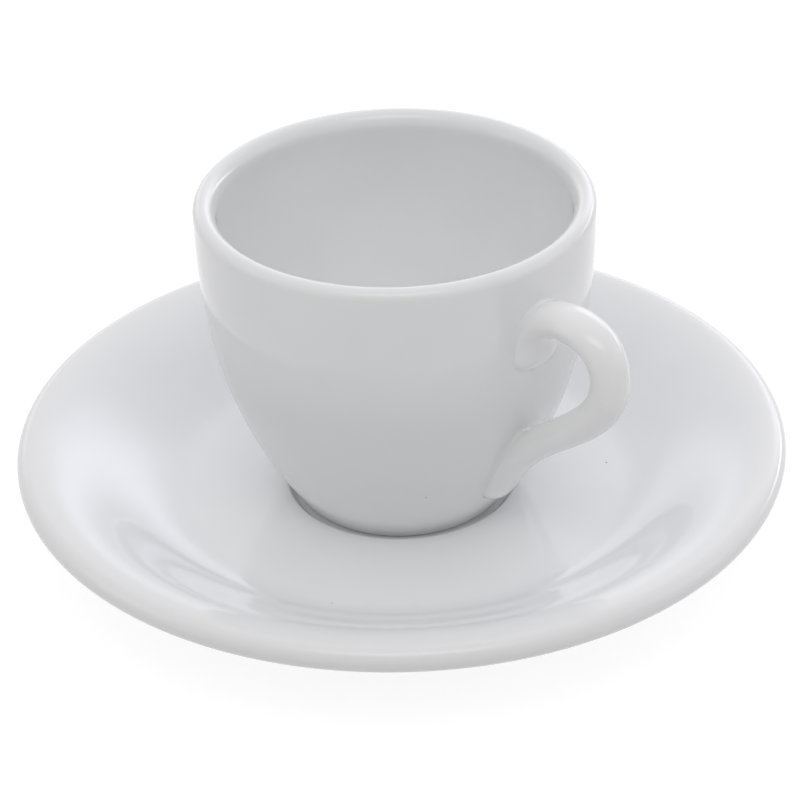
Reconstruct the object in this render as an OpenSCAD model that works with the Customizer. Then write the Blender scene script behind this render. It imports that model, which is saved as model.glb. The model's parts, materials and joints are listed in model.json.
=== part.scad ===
// Espresso cup on its saucer: a bowl, a handle that two layers of clay slip hold to it,
// and a dished saucer.
// Millimetres. The origin is the centre of the plane that the saucer stands on, +Z is up,
// and the handle points along +X.

/* [Saucer] */
// Radius of the saucer, to the outside of its lip
saucer_r = 61; // [54:0.5:75]
// Height of the saucer, from the table to the top of its lip
saucer_h = 18.5; // [16:0.5:24]
// Height of the well's floor
well_z = 9; // [8:0.1:11]
// Radius at which the flat well ends and the wall starts to rise
well_r = 35.5; // [30:0.5:40]
// Thickness of the well's floor
well_t = 4.2; // [3.6:0.1:5]
// Depth of the seat, the recess in the well that the cup's foot stands in
seat_depth = 1.2; // [0.6:0.1:1.8]
// Gap all round between the cup and the edge of its seat, at the height of the well's floor
seat_gap = 1.5; // [0.8:0.1:2.4]
// Width over which the edge of the seat rounds down from the well
seat_edge = 1.4; // [0.8:0.1:2]
// Radius of the rounded lip
saucer_lip_r = 2.15; // [1.6:0.05:2.6]
// Outer radius of the saucer's foot ring
saucer_foot_r = 33; // [28:0.5:38]
// Width of the saucer's foot ring
saucer_foot_w = 3.4; // [2.4:0.1:5]

/* [Bowl] */
// Height of the cup, from its foot to its rim
cup_h = 52; // [48:0.5:60]
// Outer radius of the rim
cup_r = 30.7; // [28:0.1:36]
// Outer radius of the wall where it would reach the foot's plane
cup_foot_r = 16.2; // [14.5:0.1:19]
// How soon the wall swells out above the foot, as a power
cup_belly = 2.6; // [1.8:0.05:3]
// Radius of the rim's outer half
cup_lip_r = 1.5; // [1.1:0.05:1.8]
// Width of the rim's inner half, which rounds down into the cup
cup_rim_w = 2; // [1.5:0.1:2.6]
// Height over which that half rounds down
cup_rim_drop = 2.7; // [2:0.1:5]
// Height of the inside's lowest point above the foot
cup_floor_h = 4.6; // [3.8:0.1:7]
// How soon the inside swells out above its floor, as a power
cup_inner_belly = 2.4; // [2:0.05:2.7]
// Rounding of the edge where the wall turns under to the foot
cup_foot_edge = 1.6; // [1:0.1:2.6]
// Width of the flat that the cup stands on
cup_foot_w = 1; // [0.6:0.1:2]
// Depth of the recess inside the foot ring
cup_recess = 1.4; // [0.8:0.1:2]

/* [Handle] */
// Rim to the lower end of the upper root
root_drop = 18.5; // [16:0.5:22]
// Rim to the middle of the arch
arch_drop = 7.9; // [6:0.1:10]
// Wall to the middle of the arch at its highest point
arch_out = 6.5; // [5:0.1:9]
// Rim to the outermost point of the bow
bow_drop = 16.5; // [14:0.1:20]
// Wall to the middle of the bow at its outermost point
bow_out = 14.6; // [12:0.1:20]
// Height above the foot at which the lower arm is halfway to the wall
arm_h = 22.5; // [19.5:0.1:25.5]
// Wall to the middle of the lower arm there
arm_out = 5.3; // [4:0.1:8]
// Height of the tail's tip above the foot
tail_h = 7.1; // [5:0.1:10.5]
// Depth of the middle of the two roots inside the wall
root_sunk = 0.9; // [0.4:0.1:1.4]
// Direction of the middle line at its root, arch, bow, arm and tail, in degrees
handle_way = [94, 0, -102, -142, -119]; // [-180:1:180]
// How far the line bends out of that direction before each of those places
handle_before = [0, 5.6, 4.7, 7.1, 7.3]; // [0:0.1:9]
// How far it bends out of that direction after each of them
handle_after = [6.6, 6.2, 5.1, 6.5, 0]; // [0:0.1:9]
// Half the thickness of the handle at the same places
handle_half_t = [2.8, 2.6, 2.9, 2.5, 2.7]; // [1.6:0.1:3.6]
// Half the width of the handle at the same places
handle_half_w = [5.0, 3.4, 2.9, 2.7, 3.5]; // [2:0.1:5.4]
// Length over which each end of the handle rounds off
tip_round = 3.5; // [2:0.1:6]

/* [Foot rings] */
// Rounding of the edges of the foot rings
foot_round = 0.7; // [0.3:0.05:0.9]

/* [Slip seams] */
// Thickness of the slip between handle and wall
slip_t = 0.3; // [0.2:0.05:0.6]
// Width of the bead of slip that shows round each root
slip_bead = 0.5; // [0.2:0.05:1]

/* [Hidden] */
$fn = 180;

// Steps along a wall's outline, along a rounded edge, along each stretch of the handle
// and round the handle
wall_steps = 32;
edge_steps = 10;
stretch_steps = 12;
ring_sides = 24;

porcelain = [0.93, 0.93, 0.92];
handle_white = [0.91, 0.91, 0.90];
slip_white = [0.88, 0.88, 0.86];

saucer_crest_r = saucer_r - saucer_lip_r;
saucer_lip_under = [saucer_crest_r, saucer_h - 2 * saucer_lip_r];
saucer_under_z = well_z - well_t;
cup_z = well_z - seat_depth;
cup_lip_h = cup_h - cup_lip_r;
// Height between the handle's two roots, and a radius that clears the whole cup
between_roots_h = arm_h;
clear_r = 2 * cup_r;

function mix(a, b, t) = a + (b - a) * t;
function smooth(t) = t * t * (3 - 2 * t);

// Points of an arc about c, from angle a0 to angle a1
function arc(c, r, a0, a1) = [
    for (i = [0 : edge_steps]) let (a = mix(a0, a1, i / edge_steps)) c + r * [cos(a), sin(a)]
];

// Outline of a foot ring from its outer edge round to its inner edge, standing on height 0
function foot_ring(outer_r, width) = concat(
    arc([outer_r - foot_round, foot_round], foot_round, 0, -90),
    arc([outer_r - width + foot_round, foot_round], foot_round, -90, -180)
);

// Points of a wall that rises from p to q, level at both ends
function s_curve(p, q, steps) = [
    for (i = [0 : steps]) let (t = i / steps) [mix(p[0], q[0], t), mix(p[1], q[1], smooth(t))]
];

// Outer radius of the bowl at height h above its foot: it swells from the foot and stands
// upright at the rim. Its lean is how fast that radius grows with height
function wall_r(h) = mix(cup_foot_r, cup_r, 1 - pow(max(0, 1 - h / cup_h), cup_belly));
function wall_lean(h) = (cup_r - cup_foot_r) * cup_belly / cup_h * pow(1 - h / cup_h, cup_belly - 1);

// The arc that turns the wall under to the foot: its angle from level, and where it meets the wall
turn_a = atan(wall_lean(cup_foot_edge / 2));
turn_h = cup_foot_edge * (1 - sin(turn_a));
stand_r = wall_r(turn_h) - cup_foot_edge * cos(turn_a);
ring_inner_r = stand_r - cup_foot_w - foot_round;

// Radius of the seat where its edge starts to round down
seat_r = wall_r(seat_depth) + seat_gap;

// The crest of the rim, and the height at which its inner half has rounded down to the inside
cup_crest_r = wall_r(cup_lip_h) - cup_lip_r;
cup_mouth_h = cup_h - cup_rim_drop;

// Inner radius of the bowl at a share t of the way from its floor to its mouth: round below,
// upright at the mouth
function inner_r(t) = (cup_crest_r - cup_rim_w) * sqrt(1 - pow(1 - t, cup_inner_belly));

function bowl_outside() = [
    for (i = [0 : wall_steps]) let (h = mix(turn_h, cup_lip_h, i / wall_steps)) [wall_r(h), h]
];
function bowl_inside() = [
    for (i = [0 : wall_steps])
        let (t = pow(1 - i / wall_steps, 2))
        [inner_r(t), mix(cup_floor_h, cup_mouth_h, t)]
];
// A quarter of an ellipse, without its two ends
function rim_inside() = [
    for (i = [1 : edge_steps - 1])
        let (a = mix(90, 180, i / edge_steps))
        [cup_crest_r + cup_rim_w * cos(a), cup_mouth_h + cup_rim_drop * sin(a)]
];

// Solid of the bowl's outside, grown sideways, which the handle and its seams are cut to
module bowl_core(grow) {
    outline = [for (p = bowl_outside()) p + [grow, 0]];
    translate([0, 0, cup_z])
        rotate_extrude()
            polygon(concat([[0, turn_h]], outline, [[0, cup_lip_h]]));
}

// The places that the handle's middle line passes: distance from the axis, and height above the foot
function beside_wall(h, out) = [wall_r(h) + out, h];
knots = [
    beside_wall(cup_h - root_drop, -root_sunk),
    beside_wall(cup_h - arch_drop, arch_out),
    beside_wall(cup_h - bow_drop, bow_out),
    beside_wall(arm_h, arm_out),
    beside_wall(tail_h, -root_sunk)
];
stretches = len(knots) - 1;

// The stretch of the middle line from knot s to the next, as the four points of a cubic curve
function way(s) = [cos(handle_way[s]), sin(handle_way[s])];
function stretch(s) = [
    knots[s],
    knots[s] + handle_after[s] * way(s),
    knots[s + 1] - handle_before[s + 1] * way(s + 1),
    knots[s + 1]
];
function bezier(b, t) =
    pow(1 - t, 3) * b[0] + 3 * pow(1 - t, 2) * t * b[1] + 3 * (1 - t) * t * t * b[2] + pow(t, 3) * b[3];
function bezier_way(b, t) =
    pow(1 - t, 2) * (b[1] - b[0]) + 2 * (1 - t) * t * (b[2] - b[1]) + t * t * (b[3] - b[2]);

// Places along the handle, as a stretch and a share of it, closer together towards both ends
stations = [
    for (s = [0 : stretches - 1], i = [s == 0 ? 0 : 1 : stretch_steps])
        let (t = i / stretch_steps)
        [s, s == 0 ? t * t : s == stretches - 1 ? 1 - pow(1 - t, 2) : t]
];
root_end = knots[0];
tail_end = knots[stretches];

// Share of the full section left near an end, which closes as an ellipse does
function tip(p, end) = sqrt(1 - pow(max(0, 1 - norm(p - end) / tip_round), 2));

// One ring of the handle's skin: an oval across the middle line
function ring(station, grow) =
    let (
        s = station[0],
        t = station[1],
        b = stretch(s),
        p = bezier(b, t),
        along = bezier_way(b, t),
        across = [-along[1], along[0]] / norm(along),
        close = tip(p, root_end) * tip(p, tail_end),
        half_t = close * (mix(handle_half_t[s], handle_half_t[s + 1], smooth(t)) + grow),
        half_w = close * (mix(handle_half_w[s], handle_half_w[s + 1], smooth(t)) + grow)
    )
    [
        for (j = [0 : ring_sides - 1])
            let (a = 360 * j / ring_sides, q = p + half_t * cos(a) * across)
            [q[0], half_w * sin(a), q[1]]
    ];

// The whole handle before it is cut to the wall: rings between two closing points
module handle_sweep(grow) {
    last = len(stations) - 1;
    points = concat(
        [[root_end[0], 0, root_end[1]]],
        [for (i = [1 : last - 1]) each ring(stations[i], grow)],
        [[tail_end[0], 0, tail_end[1]]]
    );
    rings = last - 1;
    pole = len(points) - 1;
    function at(i, j) = 1 + i * ring_sides + j % ring_sides;
    faces = concat(
        [for (j = [0 : ring_sides - 1]) [0, at(0, j + 1), at(0, j)]],
        [
            for (i = [0 : rings - 2], j = [0 : ring_sides - 1])
                each [
                    [at(i, j), at(i, j + 1), at(i + 1, j)],
                    [at(i, j + 1), at(i + 1, j + 1), at(i + 1, j)]
                ]
        ],
        [for (j = [0 : ring_sides - 1]) [at(rings - 1, j), at(rings - 1, j + 1), pole]]
    );
    translate([0, 0, cup_z]) polyhedron(points, faces);
}

// Slip between the wall and one root, which lies between two heights above the foot
module slip_layer(low_h, high_h) {
    difference() {
        intersection() {
            handle_sweep(slip_bead);
            bowl_core(slip_t);
            translate([0, 0, cup_z + low_h]) cylinder(r = clear_r, h = high_h - low_h);
        }
        bowl_core(0);
    }
}

module saucer() {
    color(porcelain)
        rotate_extrude()
            polygon(concat(
                [[0, cup_z]],
                s_curve([seat_r - seat_edge, cup_z], [seat_r, well_z], edge_steps),
                s_curve([well_r, well_z], [saucer_crest_r, saucer_h], wall_steps),
                arc([saucer_crest_r, saucer_h - saucer_lip_r], saucer_lip_r, 90, -90),
                s_curve(saucer_lip_under, [saucer_foot_r, saucer_under_z], wall_steps),
                foot_ring(saucer_foot_r, saucer_foot_w),
                [[saucer_foot_r - saucer_foot_w, saucer_under_z], [0, saucer_under_z]]
            ));
}

module cup_bowl() {
    color(porcelain)
        translate([0, 0, cup_z])
            rotate_extrude()
                polygon(concat(
                    arc([stand_r, cup_foot_edge], cup_foot_edge, -90, -turn_a),
                    bowl_outside(),
                    arc([cup_crest_r, cup_lip_h], cup_lip_r, 0, 90),
                    rim_inside(),
                    bowl_inside(),
                    [[0, cup_recess], [ring_inner_r, cup_recess]],
                    arc([ring_inner_r + foot_round, foot_round], foot_round, 180, 270)
                ));
}

module cup_handle() {
    color(handle_white)
        difference() {
            handle_sweep(0);
            bowl_core(slip_t);
        }
}

module upper_slip_seam() {
    color(slip_white) slip_layer(between_roots_h, cup_h);
}

module lower_slip_seam() {
    color(slip_white) slip_layer(0, between_roots_h);
}

saucer();
cup_bowl();
cup_handle();
upper_slip_seam();
lower_slip_seam();
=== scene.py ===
"""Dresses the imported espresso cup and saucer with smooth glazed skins, in a plain white studio.

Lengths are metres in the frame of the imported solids: the origin is the middle of the plane that the
saucer stands on, +Z is up and the handle points along +X.
"""

import json
import logging
import math
from dataclasses import dataclass, field
from enum import Enum
from pathlib import Path
from typing import Any

import bpy
import numpy as np
from mathutils import Matrix, Vector
from numpy.typing import NDArray
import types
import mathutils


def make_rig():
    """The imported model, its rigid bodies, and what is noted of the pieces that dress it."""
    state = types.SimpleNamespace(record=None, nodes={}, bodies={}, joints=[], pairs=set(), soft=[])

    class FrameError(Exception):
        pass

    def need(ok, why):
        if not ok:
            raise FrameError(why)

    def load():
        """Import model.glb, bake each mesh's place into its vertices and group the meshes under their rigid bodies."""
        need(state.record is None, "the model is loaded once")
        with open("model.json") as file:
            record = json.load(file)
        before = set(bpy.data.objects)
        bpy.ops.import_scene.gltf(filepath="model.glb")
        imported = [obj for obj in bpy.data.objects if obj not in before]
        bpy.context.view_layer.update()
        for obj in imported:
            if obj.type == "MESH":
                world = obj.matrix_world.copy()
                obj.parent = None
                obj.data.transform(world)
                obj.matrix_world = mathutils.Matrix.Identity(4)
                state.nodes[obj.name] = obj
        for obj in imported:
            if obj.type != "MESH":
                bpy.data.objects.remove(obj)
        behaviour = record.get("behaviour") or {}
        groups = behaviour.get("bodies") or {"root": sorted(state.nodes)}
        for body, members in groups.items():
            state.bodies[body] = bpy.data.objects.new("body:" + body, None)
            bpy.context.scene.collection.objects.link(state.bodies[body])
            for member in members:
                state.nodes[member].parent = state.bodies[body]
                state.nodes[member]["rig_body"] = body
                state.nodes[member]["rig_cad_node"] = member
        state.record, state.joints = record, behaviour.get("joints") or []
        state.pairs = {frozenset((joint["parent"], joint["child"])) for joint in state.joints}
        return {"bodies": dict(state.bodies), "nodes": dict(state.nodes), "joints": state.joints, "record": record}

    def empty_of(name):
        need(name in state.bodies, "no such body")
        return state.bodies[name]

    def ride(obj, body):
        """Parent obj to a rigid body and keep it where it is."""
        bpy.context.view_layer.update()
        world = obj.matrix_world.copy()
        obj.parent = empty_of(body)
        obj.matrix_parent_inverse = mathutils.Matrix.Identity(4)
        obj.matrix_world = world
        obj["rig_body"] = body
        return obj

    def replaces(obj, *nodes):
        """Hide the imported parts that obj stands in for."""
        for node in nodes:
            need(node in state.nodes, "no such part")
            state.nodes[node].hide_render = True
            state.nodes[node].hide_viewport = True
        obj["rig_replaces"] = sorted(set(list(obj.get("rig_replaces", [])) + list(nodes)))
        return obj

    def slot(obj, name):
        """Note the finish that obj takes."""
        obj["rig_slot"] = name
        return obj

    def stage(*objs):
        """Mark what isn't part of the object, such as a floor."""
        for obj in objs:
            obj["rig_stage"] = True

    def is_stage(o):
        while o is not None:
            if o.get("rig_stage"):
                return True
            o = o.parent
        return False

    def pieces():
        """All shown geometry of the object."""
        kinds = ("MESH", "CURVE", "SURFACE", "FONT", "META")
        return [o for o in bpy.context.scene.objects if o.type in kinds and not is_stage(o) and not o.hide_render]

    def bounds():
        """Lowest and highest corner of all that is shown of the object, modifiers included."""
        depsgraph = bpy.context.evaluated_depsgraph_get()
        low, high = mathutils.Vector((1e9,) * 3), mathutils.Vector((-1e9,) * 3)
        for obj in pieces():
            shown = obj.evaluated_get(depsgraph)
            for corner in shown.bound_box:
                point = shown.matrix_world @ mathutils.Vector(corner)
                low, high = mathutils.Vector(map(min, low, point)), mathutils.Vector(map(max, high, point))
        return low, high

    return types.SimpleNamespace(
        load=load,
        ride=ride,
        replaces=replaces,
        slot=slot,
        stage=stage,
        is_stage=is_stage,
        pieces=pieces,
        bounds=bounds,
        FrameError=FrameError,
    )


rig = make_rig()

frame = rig.load()
CAD_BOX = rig.bounds()

MM = 0.001
# Height above its standing plane up to which a foot ring is wiped free of glaze
BARE_EDGE = 0.12 * MM
# Points of an outline that lie closer than this count as one
SAME_POINT = 1e-4 * MM
# Values between which nearly all of a noise lies
NOISE_BAND = (0.3, 0.7)
# Colours of the light: bluish through the windows behind, near white by day, and yellowish from the room
WINDOW = (0.86, 0.85, 1.0)
DAYLIGHT = (0.97, 0.96, 1.0)
ROOM = (0.98, 1.0, 0.91)
SIZE_FILE = Path("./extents.json")
LOG = logging.getLogger("espresso_cup")

Array = NDArray[np.float64]
Colour = tuple[float, float, float]
Pair = tuple[float, float]


class Solid(Enum):
    """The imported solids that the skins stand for."""

    SAUCER = "saucer"
    BOWL = "cup_bowl"
    HANDLE = "cup_handle"
    UPPER_SEAM = "upper_slip_seam"
    LOWER_SEAM = "lower_slip_seam"


class Body(Enum):
    """The bodies that move: the saucer stays, and the cup lifts off it."""

    SAUCER = "saucer"
    CUP = "cup"


class Slot(Enum):
    """The record's material slots."""

    SAUCER_GLAZE = "saucer_glaze"
    CUP_GLAZE = "cup_glaze"
    SEAM_GLAZE = "seam_glaze"


class Mark(Enum):
    """What each point of a skin carries for its finish."""

    # Glaze pooled in hollows, and painted shade low on the cup's outside
    POOL = "glaze_pool"
    BARE = "bare_clay"
    # Painted light: the handle's lighter white
    CAST = "cast_slip"


# Curves and surfaces


def smooth(t: Array) -> Array:
    """Eases 0 to 1, level at both ends: three t squared less two t cubed."""
    return t * t * (3.0 - 2.0 * t)


def arc(centre: tuple[float, float], radius: float, start: float, end: float, steps: int) -> Array:
    """Points of an arc: the centre plus the radius times the cosine and sine of an angle.

    Args:
        centre: Middle of the arc, as distance from the axis and height.
        radius: Radius of the arc.
        start: First angle, in degrees.
        end: Last angle, in degrees.
        steps: Number of steps.

    Returns:
        The points, one a row.
    """
    angle = np.radians(np.linspace(start, end, steps + 1))
    return np.asarray(centre) + radius * np.stack([np.cos(angle), np.sin(angle)], axis=-1)


def s_curve(start: tuple[float, float], end: tuple[float, float], steps: int) -> Array:
    """Points of a wall that is level at both ends: even steps outwards, eased steps in height.

    Args:
        start: First point, as distance from the axis and height.
        end: Last point.
        steps: Number of steps.

    Returns:
        The points, one a row.
    """
    t = np.linspace(0.0, 1.0, steps + 1)
    return np.stack([
        start[0] + (end[0] - start[0]) * t,
        start[1] + (end[1] - start[1]) * smooth(t),
    ], axis=-1)


def line(start: tuple[float, float], end: tuple[float, float], steps: int) -> Array:
    """Evenly spaced points of a straight line.

    Args:
        start: First point.
        end: Last point.
        steps: Number of steps.

    Returns:
        The points, one a row.
    """
    return np.linspace(np.asarray(start), np.asarray(end), steps + 1)


def joined(*stretches: Array) -> Array:
    """Joins stretches of an outline end to end, and drops the points that repeat.

    Args:
        stretches: The stretches in order, each with one point a row.

    Returns:
        The whole outline.
    """
    points = np.concatenate(stretches)
    step = np.linalg.norm(np.diff(points, axis=0), axis=1)
    return points[np.concatenate([[True], step > SAME_POINT])]


def unit(vectors: Array) -> Array:
    """Scales vectors to length 1 along the last axis."""
    return vectors / np.linalg.norm(vectors, axis=-1, keepdims=True)


def pooling(outline: Array, reach: float = 6 * MM, spread: float = 1.2 * MM) -> Array:
    """Where glaze pools along an outline with the clay on its right: 1 in hollows, -1 on edges.

    It is the hyperbolic tangent of the reach times the outline's turn per length, averaged along the
    outline with a bell-shaped weight.

    Args:
        outline: The outline's points, one a row.
        reach: Radius of a bend that counts as a full hollow or edge.
        spread: Length over which the glaze evens out.

    Returns:
        One value for each point.
    """
    length = np.concatenate([[0.0], np.cumsum(np.linalg.norm(np.diff(outline, axis=0), axis=1))])
    way = np.gradient(outline, length, axis=0)
    turn = np.gradient(np.unwrap(np.arctan2(way[:, 1], way[:, 0])), length)
    share = np.exp(-0.5 * ((length[:, None] - length[None, :]) / spread) ** 2) * np.gradient(length)
    return (share @ np.tanh(reach * turn)) / share.sum(axis=1)


@dataclass
class Skin:
    """A closed surface on a grid: rows of rings, closed by a point at either end or end to end.

    Attributes:
        rings: Points of the rings, as rows by points by three.
        first: Point that closes the first ring, or None where the last ring joins the first.
        last: Point that closes the last ring, or None as above.
        marks: Values for the finish, each with one value for every point of the rings.
    """

    rings: Array
    first: Array | None = None
    last: Array | None = None
    marks: dict[Mark, Array] = field(default_factory=dict)

    @property
    def has_ends(self) -> bool:
        """Whether points close the two ends."""
        return self.first is not None and self.last is not None

    def points(self) -> Array:
        """All points: the rings, and then the two closing points."""
        flat = self.rings.reshape(-1, 3)
        return np.concatenate([flat, [self.first, self.last]]) if self.has_ends else flat

    def faces(self) -> tuple[NDArray[np.int64], NDArray[np.int64]]:
        """Four-sided faces between neighbouring rings, and fans of triangles at the closing points.

        Returns:
            The four-sided faces and the triangles, as rows of point numbers that go the right way
            round for a volume above zero.
        """
        rows, around, _ = self.rings.shape
        number = np.arange(rows * around).reshape(rows, around)
        if not self.has_ends:
            number = np.concatenate([number, number[:1]])
        here, beside = number, np.roll(number, -1, axis=1)
        quads = np.stack([here[:-1], here[1:], beside[1:], beside[:-1]], axis=-1).reshape(-1, 4)
        fans = np.empty((0, 3), dtype=np.int64)
        if self.has_ends:
            start = np.full(around, rows * around)
            fans = np.concatenate([
                np.stack([start, here[0], beside[0]], axis=-1),
                np.stack([start + 1, beside[-1], here[-1]], axis=-1),
            ])
        if self.volume(quads, fans) < 0:
            quads, fans = quads[:, ::-1], fans[:, ::-1]
        return quads, fans

    def volume(self, quads: NDArray[np.int64], fans: NDArray[np.int64]) -> float:
        """Enclosed volume: the sum of the corner triple products of all triangles, over six.

        Args:
            quads: Four-sided faces.
            fans: Triangles.

        Returns:
            The volume, below zero where the faces point inwards.
        """
        triangles = np.concatenate([quads[:, [0, 1, 2]], quads[:, [0, 2, 3]], fans])
        a, b, c = np.moveaxis(self.points()[triangles], 1, 0)
        return float(np.einsum("ij,ij->i", a, np.cross(b, c)).sum() / 6.0)

    def mesh(self, name: str) -> bpy.types.Mesh:
        """Makes the mesh, smoothly shaded, with its marks as point values.

        Args:
            name: Name of the mesh.

        Returns:
            The new mesh.
        """
        quads, fans = self.faces()
        made = bpy.data.meshes.new(name)
        made.from_pydata(self.points().tolist(), [], quads.tolist() + fans.tolist(), shade_flat=False)
        for mark, values in self.marks.items():
            flat = values.reshape(-1)
            if self.has_ends:
                flat = np.concatenate([flat, [values[0].mean(), values[-1].mean()]])
            layer = made.attributes.new(mark.value, "FLOAT", "POINT")
            layer.data.foreach_set("value", flat.astype(np.float32))
        made.validate()
        made.update()
        return made


def turned(outline: Array, around: int, marks: dict[Mark, Array]) -> Skin:
    """Turns an outline about the upright axis: each point runs round a circle of its own radius.

    Args:
        outline: Distance from the axis and height, starting and ending on the axis.
        around: Number of points round each circle.
        marks: Values for the finish, one for each point of the outline.

    Returns:
        The closed skin.
    """
    angle = np.linspace(0.0, 2.0 * np.pi, around, endpoint=False)
    inner = outline[1:-1]
    rings = np.stack([
        inner[:, :1] * np.cos(angle),
        inner[:, :1] * np.sin(angle),
        np.repeat(inner[:, 1:], around, axis=1),
    ], axis=-1)
    spread = {mark: np.repeat(values[1:-1, None], around, axis=1) for mark, values in marks.items()}
    ends = [np.array([0.0, 0.0, outline[i, 1]]) for i in (0, -1)]
    return Skin(rings, ends[0], ends[1], spread)


# Finishes


class Board:
    """The node board of one material or world, with short ways to add nodes and join them."""

    def __init__(self, tree: bpy.types.NodeTree) -> None:
        """Takes over a node tree and empties it.

        Args:
            tree: The tree to fill.
        """
        self.tree = tree
        tree.nodes.clear()

    def add(self, kind: str, settings: dict[str, Any] | None = None, /, **inputs: Any) -> bpy.types.Node:
        """Adds a node.

        Args:
            kind: Kind of node, without the ShaderNode that all kinds start with.
            settings: The node's own settings.
            inputs: Values or sockets for its inputs, with _ for a space in their names.

        Returns:
            The new node.
        """
        node = self.tree.nodes.new("ShaderNode" + kind)
        for name, value in (settings or {}).items():
            setattr(node, name, value)
        for name, value in inputs.items():
            self.feed(node.inputs[name.replace("_", " ")], value)
        return node

    def feed(self, socket: bpy.types.NodeSocket, value: Any) -> None:
        """Joins a socket to an input, or sets the input's own value.

        Args:
            socket: The input.
            value: A socket, a number or a colour.
        """
        if isinstance(value, bpy.types.NodeSocket):
            self.tree.links.new(value, socket)
        elif isinstance(value, tuple) and socket.type == "RGBA":
            socket.default_value = (*value, 1.0)
        else:
            socket.default_value = value

    def math(self, operation: str, first: Any, second: Any = 0.0) -> bpy.types.NodeSocket:
        """Adds a sum on two numbers.

        Args:
            operation: Name of the sum, such as MULTIPLY.
            first: Number or socket.
            second: Number or socket.

        Returns:
            The result.
        """
        node = self.add("Math", {"operation": operation})
        self.feed(node.inputs[0], first)
        self.feed(node.inputs[1], second)
        return node.outputs[0]

    def blend(self, share: Any, first: Any, second: Any) -> bpy.types.NodeSocket:
        """Adds a mix of two colours.

        Args:
            share: How much of the second colour shows, from 0 to 1.
            first: Colour or socket.
            second: Colour or socket.

        Returns:
            The mixed colour.
        """
        node = self.add("Mix", {"data_type": "RGBA"})
        # The node has sockets for numbers and vectors too: inputs 6 and 7 and output 2 are its colours
        for at, value in ((0, share), (6, first), (7, second)):
            self.feed(node.inputs[at], value)
        return node.outputs[2]

    def ramp(
        self, value: Any, low: float, high: float, to_low: float, to_high: float
    ) -> bpy.types.NodeSocket:
        """Adds an eased step from one value to another.

        Args:
            value: Number or socket.
            low: Value at which the step starts.
            high: Value at which it ends.
            to_low: Result at and before the start.
            to_high: Result at and after the end.

        Returns:
            The result.
        """
        node = self.add("MapRange", {"interpolation_type": "SMOOTHSTEP"}, Value=value)
        limits = {"From Min": low, "From Max": high, "To Min": to_low, "To Max": to_high}
        for name, number in limits.items():
            node.inputs[name].default_value = number
        return node.outputs[0]

    def noise(self, place: bpy.types.NodeSocket, size: float, detail: float) -> bpy.types.NodeSocket:
        """Adds soft noise with blotches of a given size.

        Args:
            place: Coordinates.
            size: Size of a blotch, in metres.
            detail: Number of finer layers.

        Returns:
            The noise, from 0 to 1.
        """
        return self.add("TexNoise", None, Vector=place, Scale=1.0 / size, Detail=detail).outputs[0]


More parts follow.
